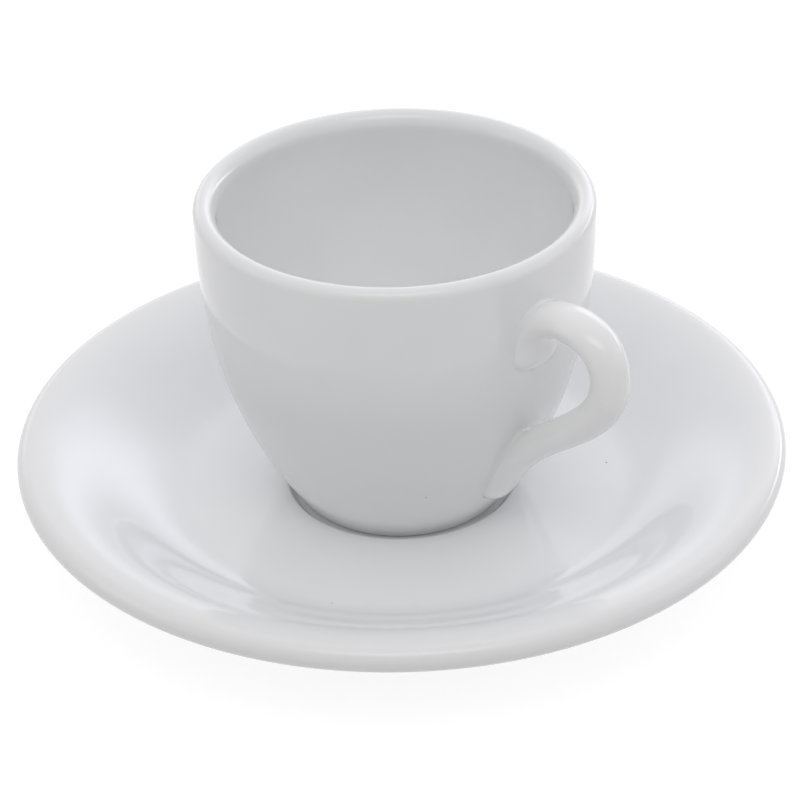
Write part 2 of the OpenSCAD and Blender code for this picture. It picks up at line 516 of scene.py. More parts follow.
@dataclass(frozen=True)
class Porcelain:
    """Glazed white porcelain: a clear glossy glaze over white clay, bare on the foot rings.

    Attributes:
        name: Name of the material.
        white: Colour of the glazed clay.
        pooled_and_shaded: Colour where the glaze lies thick, in hollows, and of the painted shade low on the cup's
            outside.
        thin: Colour where the glaze runs thin, on edges.
        cast: A lighter colour painted on a piece as painted light, which the handle takes.
        bare: Colour of unglazed clay.
        speck: Colour of the few iron specks.
        ior: How strongly the glaze bends light.
        gloss: Roughness of the glaze.
        gloss_range: Least and greatest roughness, as shares of that.
        bare_gloss: Roughness of unglazed clay.
        cloud_size: Size of the faint clouds in the white.
        cloud_band: Values of the noise between which a cloud comes in.
        cloud_share: How far a cloud goes to the pooled colour.
        pool_and_shade_band: Marks between which glaze goes to the pooled colour, in hollows and in the painted shade.
        edge_band: Marks between which it goes back from the thin colour.
        waver_size: Size of the waves in the edge of bare clay.
        waver: How far they shift that edge, as a share of its mark.
        bare_band: Marks between which glaze gives way to bare clay.
        wave_size: Size of the glaze's soft waves.
        wave_height: Height of those waves.
        peel_size: Size of the fine pits of the glaze.
        peel_height: Height of those pits.
        grain_size: Size of the grain of unglazed clay.
        grain_height: Height of that grain.
        grain_share: How far the grain goes to white.
        speck_gap: Distance between places where a speck may lie.
        speck_size: Radius of the largest specks.
        speck_core: Share of that radius from which a speck fades.
        speck_dark: How dark the middle of a speck is, from 0 to 1.
        speck_share: Share of those places that hold a speck.
    """

    name: str
    white: Colour = (0.864, 0.876, 0.880)
    pooled_and_shaded: Colour = (0.822, 0.838, 0.846)
    thin: Colour = (0.856, 0.854, 0.848)
    cast: Colour = (0.898, 0.898, 0.890)
    bare: Colour = (0.690, 0.655, 0.600)
    speck: Colour = (0.200, 0.170, 0.140)
    ior: float = 1.52
    gloss: float = 0.018
    gloss_range: Pair = (0.8, 1.5)
    bare_gloss: float = 0.78
    cloud_size: float = 16 * MM
    cloud_band: Pair = (0.35, 0.65)
    cloud_share: float = 0.35
    pool_and_shade_band: Pair = (0.05, 0.9)
    edge_band: Pair = (-0.9, -0.1)
    waver_size: float = 2.5 * MM
    waver: float = 0.12
    bare_band: Pair = (0.42, 0.58)
    wave_size: float = 9 * MM
    wave_height: float = 0.005 * MM
    peel_size: float = 1.3 * MM
    peel_height: float = 0.0004 * MM
    grain_size: float = 0.25 * MM
    grain_height: float = 0.030 * MM
    grain_share: float = 0.5
    speck_gap: float = 9 * MM
    speck_size: float = 0.22 * MM
    speck_core: float = 0.4
    speck_dark: float = 0.85
    speck_share: float = 0.40

    def material(self) -> bpy.types.Material:
        """Makes the material.

        Returns:
            The new material.
        """
        made = bpy.data.materials.new(self.name)
        made.use_nodes = True
        board = Board(made.node_tree)
        place = board.add("TexCoord").outputs["Object"]
        bare = self.bare_share(board, place)
        shader = board.add(
            "BsdfPrincipled", None,
            Base_Color=self.colour(board, place, bare),
            Roughness=self.roughness(board, place, bare),
            Normal=self.relief(board, place, bare),
            IOR=self.ior,
        )
        board.add("OutputMaterial", None, Surface=shader.outputs[0])
        return made

    def bare_share(self, board: Board, place: bpy.types.NodeSocket) -> bpy.types.NodeSocket:
        """Where clay is bare: the skin's own mark, with a wavering edge.

        Args:
            board: Node board.
            place: Object coordinates.

        Returns:
            Share of bare clay, 0 or 1 but for a thin edge.
        """
        mark = board.add("Attribute", {"attribute_name": Mark.BARE.value}).outputs["Fac"]
        waver = board.ramp(board.noise(place, self.waver_size, 3.0), *NOISE_BAND, -self.waver, self.waver)
        return board.ramp(board.math("ADD", mark, waver), *self.bare_band, 0.0, 1.0)

    def colour(
        self, board: Board, place: bpy.types.NodeSocket, bare: bpy.types.NodeSocket
    ) -> bpy.types.NodeSocket:
        """White with faint clouds, darker in hollows and warmer on edges, with bare clay and specks, painted shade low
        on the cup's outside and painted light on the handle.

        Args:
            board: Node board.
            place: Object coordinates.
            bare: Share of bare clay.

        Returns:
            The colour.
        """
        # This mark holds glaze pooled in hollows and, low on the cup's outside, painted shade
        pool = board.add("Attribute", {"attribute_name": Mark.POOL.value}).outputs["Fac"]
        clouds = board.noise(place, self.cloud_size, 2.0)
        cloud = board.ramp(clouds, *self.cloud_band, 0.0, self.cloud_share)
        # Painted light: where this mark is set, the white turns to a lighter colour
        cast = board.add("Attribute", {"attribute_name": Mark.CAST.value}).outputs["Fac"]
        colour = board.blend(cast, board.blend(cloud, self.white, self.pooled_and_shaded), self.cast)
        colour = board.blend(board.ramp(pool, *self.pool_and_shade_band, 0.0, 1.0), colour, self.pooled_and_shaded)
        colour = board.blend(board.ramp(pool, *self.edge_band, 1.0, 0.0), colour, self.thin)
        colour = board.blend(self.speck_shade(board, place), colour, self.speck)
        grain = board.ramp(board.noise(place, self.grain_size, 2.0), *NOISE_BAND, 0.0, self.grain_share)
        clay = board.blend(grain, self.bare, self.white)
        return board.blend(bare, colour, clay)

    def speck_shade(self, board: Board, place: bpy.types.NodeSocket) -> bpy.types.NodeSocket:
        """Specks: small balls at a few of the scattered places, cut by the surface.

        Args:
            board: Node board.
            place: Object coordinates.

        Returns:
            How dark the specks are, from 0 to 1.
        """
        cells = board.add("TexVoronoi", None, Vector=place, Scale=1.0 / self.speck_gap)
        chance = board.add("SeparateColor", None, Color=cells.outputs["Color"]).outputs[0]
        reach = self.speck_size / self.speck_gap
        ball = board.ramp(cells.outputs["Distance"], self.speck_core * reach, reach, self.speck_dark, 0.0)
        return board.math("MULTIPLY", ball, board.math("LESS_THAN", chance, self.speck_share))

    def roughness(
        self, board: Board, place: bpy.types.NodeSocket, bare: bpy.types.NodeSocket
    ) -> bpy.types.NodeSocket:
        """Gloss that varies a little over the glaze, and matt bare clay.

        Args:
            board: Node board.
            place: Object coordinates.
            bare: Share of bare clay.

        Returns:
            The roughness.
        """
        least, most = (share * self.gloss for share in self.gloss_range)
        glaze = board.ramp(board.noise(place, 2 * self.wave_size, 3.0), *NOISE_BAND, least, most)
        rest = board.math("MULTIPLY", bare, self.bare_gloss)
        return board.math("ADD", board.math("MULTIPLY", glaze, board.math("SUBTRACT", 1.0, bare)), rest)

    def relief(
        self, board: Board, place: bpy.types.NodeSocket, bare: bpy.types.NodeSocket
    ) -> bpy.types.NodeSocket:
        """Soft waves and fine pits in the glaze, and the grain of bare clay.

        Args:
            board: Node board.
            place: Object coordinates.
            bare: Share of bare clay.

        Returns:
            The surface direction.
        """
        normal = None
        layers = (
            (board.noise(place, self.wave_size, 1.0), self.wave_height),
            (board.noise(place, self.peel_size, 2.0), self.peel_height),
            (board.math("MULTIPLY", board.noise(place, self.grain_size, 2.0), bare), self.grain_height),
        )
        for height, distance in layers:
            bump = board.add("Bump", None, Height=height, Distance=distance, Strength=1.0)
            if normal is not None:
                board.feed(bump.inputs["Normal"], normal)
            normal = bump.outputs[0]
        return normal


@dataclass(frozen=True)
class Place:
    """Where a skin belongs.

    Attributes:
        piece: The piece's name.
        solid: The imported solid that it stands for.
        body: The body that it moves with.
        slot: The record's slot for its finish.
    """

    piece: str
    solid: Solid
    body: Body
    slot: Slot

    def fit(self, skin: Skin, finish: bpy.types.Material) -> bpy.types.Object:
        """Makes the piece, dresses it and fits it to the frame.

        Args:
            skin: The piece's surface.
            finish: Its material.

        Returns:
            The new object.
        """
        piece = bpy.data.objects.new(self.piece, skin.mesh(self.piece))
        bpy.context.scene.collection.objects.link(piece)
        piece.data.materials.append(finish)
        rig.ride(piece, self.body.value)
        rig.replaces(piece, self.solid.value)
        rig.slot(piece, self.slot.value)
        LOG.info("%s: %d faces, moves with %s", self.piece, len(piece.data.polygons), self.body.value)
        return piece


# The saucer


@dataclass(frozen=True)
class Saucer:
    """The dished saucer: a flat well with the cup's seat, a wall that rises in an S, lip and foot ring.

    Attributes:
        radius: Radius to the outside of the lip.
        height: Height of the lip's top.
        well_z: Height of the well's floor.
        well_r: Radius at which the wall starts to rise.
        well_t: Thickness of the well's floor.
        seat_r: Radius of the seat, the recess in the well that the cup's foot stands in.
        seat_depth: Depth of the seat.
        seat_edge: Width over which its edge rounds down from the well.
        lip_r: Radius of the rounded lip.
        foot_r: Outer radius of the foot ring.
        foot_w: Width of the foot ring.
        foot_round: Rounding of the foot ring's edges.
        foot_fillet: Rounding of the corners between foot ring and underside.
        around: Points round each circle.
    """

    radius: float = 61 * MM
    height: float = 18.5 * MM
    well_z: float = 9 * MM
    well_r: float = 35.5 * MM
    well_t: float = 4.2 * MM
    seat_r: float = 18.55 * MM
    seat_depth: float = 1.2 * MM
    seat_edge: float = 1.4 * MM
    lip_r: float = 2.15 * MM
    foot_r: float = 33 * MM
    foot_w: float = 3.4 * MM
    foot_round: float = 0.7 * MM
    foot_fillet: float = 1.0 * MM
    around: int = 288

    def outline(self) -> Array:
        """Outline from the middle of the well over the lip to the middle of the underside.

        Returns:
            Distance from the axis and height, one point a row.
        """
        crest = self.radius - self.lip_r
        under = self.well_z - self.well_t
        inner = self.foot_r - self.foot_w
        turn = self.foot_round
        fillet = self.foot_fillet
        seat = (self.seat_r - self.seat_edge, self.well_z - self.seat_depth)
        return joined(
            line((0.0, seat[1]), seat, steps=10),
            s_curve(seat, (self.seat_r, self.well_z), steps=20),
            line((self.seat_r, self.well_z), (self.well_r, self.well_z), steps=12),
            s_curve((self.well_r, self.well_z), (crest, self.height), steps=72),
            arc((crest, self.height - self.lip_r), self.lip_r, 90, -90, steps=28),
            s_curve((crest, self.height - 2 * self.lip_r), (self.foot_r + fillet, under), steps=48),
            arc((self.foot_r + fillet, under - fillet), fillet, 90, 180, steps=8),
            arc((self.foot_r - turn, turn), turn, 0, -90, steps=8),
            line((self.foot_r - turn, 0.0), (inner + turn, 0.0), steps=6),
            arc((inner + turn, turn), turn, -90, -180, steps=8),
            arc((inner - fillet, under - fillet), fillet, 0, 90, steps=8),
            line((inner - fillet, under), (0.0, under), steps=14),
        )

    def build(self, glaze: bpy.types.Material) -> list[bpy.types.Object]:
        """Makes the saucer.

        Args:
            glaze: Its finish.

        Returns:
            The saucer's one piece.
        """
        outline = self.outline()
        standing = outline[:, 1] < BARE_EDGE
        marks = {Mark.POOL: pooling(outline), Mark.BARE: standing.astype(float)}
        place = Place("saucer_skin", Solid.SAUCER, Body.SAUCER, Slot.SAUCER_GLAZE)
        return [place.fit(turned(outline, self.around, marks), glaze)]


# The cup


@dataclass(frozen=True)
class Bowl:
    """The bowl: a wall that swells from a narrow foot to an upright rim, with a round inside.

    Attributes:
        base_z: Height of the foot, which stands in the saucer's seat.
        height: Height from foot to rim.
        radius: Outer radius of the rim.
        foot_r: Outer radius of the wall where it would reach the foot's plane.
        belly: How soon the wall swells out, as a power.
        lip_r: Radius of the rim's outer half.
        rim_w: Width of the rim's inner half, which rounds down into the cup.
        rim_drop: Height over which that half rounds down.
        floor_h: Height of the inside's lowest point above the foot.
        inner_belly: How soon the inside swells out, as a power.
        foot_edge: Rounding of the edge where the wall turns under to the foot.
        foot_w: Width of the flat that the cup stands on.
        recess: Depth of the recess inside the foot ring.
        foot_round: Rounding of the foot ring's inner edge.
        foot_fillet: Rounding of the corner inside the foot ring.
        painted_shade_top: Height above the foot from which the outside is darkened with painted shade.
        painted_shade_low: Height above the foot below which that painted shade is full.
        around: Points round each circle.
    """

    base_z: float = 7.8 * MM
    height: float = 52 * MM
    radius: float = 30.7 * MM
    foot_r: float = 16.2 * MM
    belly: float = 2.6
    lip_r: float = 1.5 * MM
    rim_w: float = 2 * MM
    rim_drop: float = 2.7 * MM
    floor_h: float = 4.6 * MM
    inner_belly: float = 2.4
    foot_edge: float = 1.6 * MM
    foot_w: float = 1 * MM
    recess: float = 1.4 * MM
    foot_round: float = 0.7 * MM
    foot_fillet: float = 0.8 * MM
    painted_shade_top: float = 39 * MM
    painted_shade_low: float = 21 * MM
    around: int = 240

    @property
    def lip_h(self) -> float:
        """Height above the foot at which the rim starts to round over."""
        return self.height - self.lip_r

    @property
    def crest_r(self) -> float:
        """Radius of the rim's crest."""
        return float(self.wall_r(self.lip_h)) - self.lip_r

    def wall_r(self, h: Array | float) -> Array:
        """Outer radius: foot to rim, by 1 less a power of the share of height that is left.

        Args:
            h: Height above the foot.

        Returns:
            The radius.
        """
        left = np.clip(1.0 - np.asarray(h) / self.height, 0.0, 1.0)
        return self.foot_r + (self.radius - self.foot_r) * (1.0 - left ** self.belly)

    def wall_lean(self, h: Array | float) -> Array:
        """How fast the outer radius grows with height.

        Args:
            h: Height above the foot.

        Returns:
            Growth of the radius per height.
        """
        left = np.clip(1.0 - np.asarray(h) / self.height, 0.0, 1.0)
        return (self.radius - self.foot_r) * self.belly / self.height * left ** (self.belly - 1.0)

    def inside(self, steps: int) -> Array:
        """The inside from its lowest point to its mouth: round below and upright above.

        The radius is the mouth's times the root of 1 less a power of the share of depth that is left.

        Args:
            steps: Number of steps, closer together at the bottom.

        Returns:
            Distance from the axis and height above the foot, one point a row.
        """
        share = np.linspace(0.0, 1.0, steps + 1) ** 2
        radius = (self.crest_r - self.rim_w) * np.sqrt(1.0 - (1.0 - share) ** self.inner_belly)
        depth = self.height - self.rim_drop - self.floor_h
        return np.stack([radius, self.floor_h + depth * share], axis=-1)

    def rim_inside(self, steps: int) -> Array:
        """The rim's inner half from the mouth up to its crest: a quarter of an ellipse.

        Args:
            steps: Number of steps.

        Returns:
            Distance from the axis and height above the foot, one point a row.
        """
        angle = np.linspace(np.pi, 0.5 * np.pi, steps + 1)
        across, up = self.rim_w * np.cos(angle), self.rim_drop * np.sin(angle)
        return np.stack([self.crest_r + across, self.height - self.rim_drop + up], axis=-1)

    @property
    def turn_angle(self) -> float:
        """Angle below level, in radians, at which the wall meets the arc that turns it under."""
        return math.atan(float(self.wall_lean(0.5 * self.foot_edge)))

    @property
    def turn_h(self) -> float:
        """Height above the foot at which that arc starts."""
        return self.foot_edge * (1.0 - math.sin(self.turn_angle))

    def outside(self, steps: int) -> Array:
        """The wall from the rim down to where it turns under to the foot.

        Args:
            steps: Number of steps.

        Returns:
            Distance from the axis and height above the foot, one point a row.
        """
        h = np.linspace(self.lip_h, self.turn_h, steps + 1)
        return np.stack([self.wall_r(h), h], axis=-1)

    def outline(self) -> Array:
        """Outline from the middle of the inside over the rim to the middle of the underside.

        Returns:
            Distance from the axis and height above the table, one point a row.
        """
        stand = float(self.wall_r(self.turn_h)) - self.foot_edge * math.cos(self.turn_angle)
        inner = stand - self.foot_w - self.foot_round
        turn = self.foot_round
        fillet = self.foot_fillet
        points = joined(
            self.inside(steps=88),
            self.rim_inside(steps=28),
            arc((self.crest_r, self.lip_h), self.lip_r, 90, 0, steps=18),
            self.outside(steps=88),
            arc((stand, self.foot_edge), self.foot_edge, -math.degrees(self.turn_angle), -90, steps=12),
            line((stand, 0.0), (inner + turn, 0.0), steps=6),
            arc((inner + turn, turn), turn, -90, -180, steps=8),
            arc((inner - fillet, self.recess - fillet), fillet, 0, 90, steps=8),
            line((inner - fillet, self.recess), (0.0, self.recess), steps=10),
        )
        return points + [0.0, self.base_z]

    def skin(self) -> Skin:
        """The bowl's surface, with bare clay where it stands and painted shade that darkens its outside towards the
        foot.

        Returns:
            The closed skin.
        """
        outline = self.outline()
        standing = outline[:, 1] < self.base_z + BARE_EDGE
        past_rim = np.arange(len(outline)) > outline[:, 1].argmax()
        # Painted shade: the outside darkens more and more from the top height down to the low one, through the pool
        # mark
        shade_ramp = (self.base_z + self.painted_shade_top - outline[:, 1]) / (self.painted_shade_top - self.painted_shade_low)
        painted_shade = np.where(past_rim, smooth(np.clip(shade_ramp, 0.0, 1.0)), 0.0)
        marks = {
            Mark.POOL: np.maximum(pooling(outline), painted_shade),
            Mark.BARE: standing.astype(float),
        }
        return turned(outline, self.around, marks)

    def wall_point(self, turn: Array, h: Array) -> Array:
        """Points on the wall: its radius at a height, turned about the axis from +X.

        Args:
            turn: Angles about the axis.
            h: Heights above the foot.

        Returns:
            The points.
        """
        radius = self.wall_r(h)
        return np.stack([radius * np.cos(turn), radius * np.sin(turn), h + self.base_z], axis=-1)

    def wall_normal(self, points: Array) -> Array:
        """Outward directions of the wall, square to it, at points on or near it.

        Args:
            points: Points near the wall.

        Returns:
            The directions.
        """
        turn = np.arctan2(points[..., 1], points[..., 0])
        lean = self.wall_lean(points[..., 2] - self.base_z)
        return unit(np.stack([np.cos(turn), np.sin(turn), -lean], axis=-1))

    def onto_wall(self, points: Array, depth: float, only_inside: bool = False) -> Array:
        """Moves points straight out from the axis, or in to it, to a depth inside the wall.

        Args:
            points: The points.
            depth: Depth below the wall's outside.
            only_inside: Whether points outside that depth stay where they are.

        Returns:
            The moved points.
        """
        radius = np.hypot(points[..., 0], points[..., 1])
        wanted = self.wall_r(points[..., 2] - self.base_z) - depth
        if only_inside:
            wanted = np.maximum(wanted, radius)
        moved = points.copy()
        moved[..., :2] *= (wanted / np.maximum(radius, SAME_POINT))[..., None]
        return moved


class Root(Enum):
    """The two places where the handle is joined to the wall."""

    UPPER = "upper"
    LOWER = "lower"


@dataclass(frozen=True)
class Handle:
    """The handle: an oval section carried along a line that bows out from the wall and back to it.

    Attributes:
        bowl: The bowl that it is joined to.
        root_drop: Rim to the lower end of the upper root.
        arch_drop: Rim to the middle of the arch.
        arch_out: Wall to the middle of the arch.
        bow_drop: Rim to the outermost point of the bow.
        bow_out: Wall to the middle of the bow.
        arm_h: Height above the foot of the lower arm's middle place.
        arm_out: Wall to the middle of the arm there.
        tail_h: Height of the tail's tip above the foot.
        root_sunk: Depth of the two ends inside the wall.
        way: Directions of the middle line at its five places, in degrees.
        before: How far the line bends out of that direction before each place.
        after: How far it bends out of that direction after each place.
        half_t: Half the thickness at the five places.
        half_w: Half the width at the five places.
        tip_round: Length over which each end rounds off.
        hidden_depth: Depth to which the ends reach into the wall.
        thinnest: Half thickness below which the tips don't count for the seams.
        steps: Steps along each of the four stretches.
        sides: Points round the section.
    """

    bowl: Bowl
    root_drop: float = 18.5 * MM
    arch_drop: float = 7.9 * MM
    arch_out: float = 6.5 * MM
    bow_drop: float = 16.5 * MM
    bow_out: float = 14.6 * MM
    arm_h: float = 22.5 * MM
    arm_out: float = 5.3 * MM
    tail_h: float = 7.1 * MM
    root_sunk: float = 0.9 * MM
    way: tuple[float, ...] = (94, 0, -102, -142, -119)
    before: tuple[float, ...] = (0, 5.6 * MM, 4.7 * MM, 7.1 * MM, 7.3 * MM)
    after: tuple[float, ...] = (6.6 * MM, 6.2 * MM, 5.1 * MM, 6.5 * MM, 0)
    half_t: tuple[float, ...] = (2.8 * MM, 2.6 * MM, 2.9 * MM, 2.5 * MM, 2.7 * MM)
    half_w: tuple[float, ...] = (5.0 * MM, 3.4 * MM, 2.9 * MM, 2.7 * MM, 3.5 * MM)
    tip_round: float = 3.5 * MM
    hidden_depth: float = 0.45 * MM
    thinnest: float = 0.05 * MM
    steps: int = 72
    sides: int = 80

    def knots(self) -> Array:
        """The five places of the middle line: distance from the axis, and height above the foot."""
        rim = self.bowl.height
        drops = (self.root_drop, self.arch_drop, self.bow_drop)
        h = np.array([*(rim - drop for drop in drops), self.arm_h, self.tail_h])
        out = np.array([-self.root_sunk, self.arch_out, self.bow_out, self.arm_out, -self.root_sunk])
        return np.stack([self.bowl.wall_r(h) + out, h], axis=-1)

    def stations(self) -> tuple[NDArray[np.int64], Array]:
        """Places along the line, closer together towards its two ends.

        Returns:
            The stretch of each place, and its share of the way along that stretch.
        """
        t = np.linspace(0.0, 1.0, self.steps + 1)
        between = len(self.way) - 3
        shares = [t ** 2] + [t] * between + [1.0 - (1.0 - t) ** 2]
        kept = [shares[0]] + [share[1:] for share in shares[1:]]
        stretch = np.concatenate([np.full(len(share), s) for s, share in enumerate(kept)])
        return stretch, np.concatenate(kept)

    def sections(self) -> tuple[Array, Array, Array, Array]:
        """The middle line and the section's sizes along it.

        The line is a chain of cubic curves through the knots. The sizes ease from knot to knot and close
        at both ends as an ellipse does.

        Returns:
            Points and directions of the line in the handle's upright plane, half thickness, half width.
        """
        stretch, t = self.stations()
        knots = self.knots()
        angle = np.radians(self.way)
        way = np.stack([np.cos(angle), np.sin(angle)], axis=-1)
        leaving = knots[:-1] + np.array(self.after)[:-1, None] * way[:-1]
        arriving = knots[1:] - np.array(self.before)[1:, None] * way[1:]
        corners = np.stack([knots[:-1], leaving, arriving, knots[1:]], axis=1)[stretch]
        u = 1.0 - t
        weights = np.stack([u ** 3, 3 * u ** 2 * t, 3 * u * t ** 2, t ** 3], axis=-1)
        pulls = np.stack([u ** 2, 2 * u * t, t ** 2], axis=-1)
        points = np.einsum("ik,ikj->ij", weights, corners)
        along = unit(np.einsum("ik,ikj->ij", pulls, np.diff(corners, axis=1)))
        close = np.ones(len(t))
        for end in (knots[0], knots[-1]):
            left = np.clip(1.0 - np.linalg.norm(points - end, axis=1) / self.tip_round, 0.0, 1.0)
            close = close * np.sqrt(1.0 - left ** 2)
        sizes = []
        for half in (np.array(self.half_t), np.array(self.half_w)):
            sizes.append(close * (half[stretch] + (half[stretch + 1] - half[stretch]) * smooth(t)))
        return points, along, sizes[0], sizes[1]

    def skin(self) -> Skin:
        """The handle's surface: an oval across the line, and ends that stop just inside the wall.

        Returns:
            The closed skin.
        """
        points, along, half_t, half_w = self.sections()
        across = np.stack([-along[:, 1], along[:, 0]], axis=-1)
        angle = np.linspace(0.0, 2.0 * np.pi, self.sides, endpoint=False)
        offset = half_t[:, None] * np.cos(angle)
        rings = np.stack([
            points[:, :1] + across[:, :1] * offset,
            half_w[:, None] * np.sin(angle),
            points[:, 1:] + across[:, 1:] * offset + self.bowl.base_z,
        ], axis=-1)
        rings = self.bowl.onto_wall(rings, self.hidden_depth, only_inside=True)
        inner = rings[1:-1]
        marks = {
            Mark.POOL: np.zeros(inner.shape[:2]),
            Mark.BARE: np.zeros(inner.shape[:2]),
            # Painted light: the whole handle takes the lighter white
            Mark.CAST: np.ones(inner.shape[:2]),
        }
        return Skin(inner, rings[0].mean(axis=0), rings[-1].mean(axis=0), marks)

    def cover(self, points: Array) -> tuple[Array, Array, Array]:
        """How points lie to the handle, each in the section across the nearest place of the line.

        The measure is the oval's: the root of the squared shares of half thickness and half width. Its
        slope gives the outward direction, with the taper of the section as the part along the line.

        Args:
            points: The points, one a row.

        Returns:
            A measure that is below 1 inside and above 1 outside, the handle's outward direction, and the
            points moved within their sections onto the handle's surface.
        """
        middle, along, half_t, half_w = self.sections()
        keep = half_t > self.thinnest
        middle, along, half_t, half_w = middle[keep], along[keep], half_t[keep], half_w[keep]
        gap = points[:, [0, 2]] - [0.0, self.bowl.base_z]
        near = ((gap[:, None, :] - middle[None]) ** 2).sum(axis=-1).argmin(axis=1)
        length = np.concatenate([[0.0], np.cumsum(np.linalg.norm(np.diff(middle, axis=0), axis=1))])
        taper_t, taper_w = np.gradient(half_t, length)[near], np.gradient(half_w, length)[near]
        gap, along, half_t, half_w = gap - middle[near], along[near], half_t[near], half_w[near]
        across = np.stack([-along[:, 1], along[:, 0]], axis=-1)
        off, side = np.sum(gap * across, axis=1), points[:, 1]
        measure = np.hypot(off / half_t, side / half_w)
        lengthwise = -(off ** 2 * taper_t / half_t ** 3 + side ** 2 * taper_w / half_w ** 3)
        flat = (off / half_t ** 2)[:, None] * across + lengthwise[:, None] * along
        out = unit(np.stack([flat[:, 0], side / half_w ** 2, flat[:, 1]], axis=-1))
        shift = (1.0 / measure - 1.0)[:, None]
        moved = points + shift * np.stack([off * across[:, 0], side, off * across[:, 1]], axis=-1)
        return measure, out, moved


@dataclass(frozen=True)
class SlipSeam:
    """The glazed bead of slip round one root of the handle.

    Attributes:
        bowl: The bowl.
        handle: The handle.
        root: Which root the bead runs round.
        middle_h: Height above the foot of a place inside that root.
        reach: Radius from that place that lies outside the root all round.
        bead: Radius of the bead's hollow.
        shortest: Shortest leg of the bead on wall and handle, in such radii, where they open wide.
        longest: Longest leg, where they meet at a narrow angle.
        sunk: Depth of the bead's edges below the two surfaces.
        core: Depth of the bead's hidden side below them.
        pool: How thick the glaze lies in the bead, from 0 to 1.
        halvings: Times that the search for the root's edge halves its rays.
        around: Points along the bead.
        across: Steps across the bead.
    """

    bowl: Bowl
    handle: Handle
    root: Root
    middle_h: float
    reach: float = 13 * MM
    bead: float = 0.6 * MM
    shortest: float = 0.6
    longest: float = 3.6
    sunk: float = 0.015 * MM
    core: float = 0.3 * MM
    pool: float = 0.6
    halvings: int = 30
    around: int = 288
    across: int = 12

    def edge(self) -> Array:
        """Where the handle's surface meets the wall, found by halving along rays on the wall.

        A ray leaves the middle of the root at an angle, as a share of arc round the wall and height.

        Returns:
            The points of the closed edge.
        """
        angle = np.linspace(0.0, 2.0 * np.pi, self.around, endpoint=False)
        round_r = float(self.bowl.wall_r(self.middle_h))
        low, high = np.zeros(self.around), np.full(self.around, self.reach)
        points = np.empty((self.around, 3))
        for _ in range(self.halvings):
            half = 0.5 * (low + high)
            turn, rise = half * np.cos(angle) / round_r, half * np.sin(angle)
            points = self.bowl.wall_point(turn, self.middle_h + rise)
            inside = self.handle.cover(points)[0] < 1.0
            low, high = np.where(inside, half, low), np.where(inside, high, half)
        return points

    def skin(self) -> Skin:
        """The bead's surface: a hollow curve from the wall up to the handle, carried round the root.

        Returns:
            The closed skin.
        """
        corner = self.edge()
        wall = self.bowl.wall_normal(corner)
        out = self.handle.cover(corner)[1]
        facing = np.sum(out * wall, axis=1, keepdims=True)
        away = unit(out - facing * wall)
        up = unit(wall - facing * out)
        opening = np.arccos(np.clip(np.sum(away * up, axis=1, keepdims=True), -1.0, 1.0))
        leg = self.bead * np.clip(1.0 / np.tan(0.5 * opening), self.shortest, self.longest)
        on_wall = self.bowl.onto_wall(corner + leg * away, self.sunk)
        _, off_handle, on_handle = self.handle.cover(corner + leg * up)
        on_handle = on_handle - self.sunk * off_handle
        t = np.linspace(0.0, 1.0, self.across + 1)[:, None, None]
        curve = (1 - t) ** 2 * on_wall + 2 * (1 - t) * t * corner + t ** 2 * on_handle
        hidden = np.stack([
            on_handle - self.core * off_handle,
            corner - self.core * (wall + out),
            on_wall - self.core * self.bowl.wall_normal(on_wall),
        ])
        rings = np.concatenate([curve, hidden])
        pool = np.zeros(rings.shape[:2])
        pool[:self.across + 1] = self.pool
        return Skin(rings, marks={Mark.POOL: pool, Mark.BARE: np.zeros(rings.shape[:2])})


@dataclass(frozen=True)
class Cup:
    """The cup: its bowl, its handle and the two seams of slip that join them.

    Attributes:
        bowl: The bowl.
        handle: The handle.
        seams: The two seams.
    """

    bowl: Bowl
    handle: Handle
    seams: tuple[SlipSeam, ...]

    @classmethod
    def standard(cls) -> "Cup":
        """The cup at its usual sizes."""
        bowl = Bowl()
        handle = Handle(bowl)
        upper = SlipSeam(bowl, handle, Root.UPPER, middle_h=39.5 * MM)
        lower = SlipSeam(bowl, handle, Root.LOWER, middle_h=11.5 * MM)
        return cls(bowl, handle, (upper, lower))

    def build(self, glaze: bpy.types.Material, seam_glaze: bpy.types.Material) -> list[bpy.types.Object]:
        """Makes the cup.

        Args:
            glaze: Finish of bowl and handle.
            seam_glaze: Finish of the seams.

        Returns:
            The cup's pieces.
        """
        solids = {Root.UPPER: Solid.UPPER_SEAM, Root.LOWER: Solid.LOWER_SEAM}
        made = [
            Place("bowl_skin", Solid.BOWL, Body.CUP, Slot.CUP_GLAZE).fit(self.bowl.skin(), glaze),
            Place("handle_skin", Solid.HANDLE, Body.CUP, Slot.CUP_GLAZE).fit(self.handle.skin(), glaze),
        ]
        for seam in self.seams:
            place = Place(f"{seam.root.value}_seam_bead", solids[seam.root], Body.CUP, Slot.SEAM_GLAZE)
            made.append(place.fit(seam.skin(), seam_glaze))
        return made


# The studio


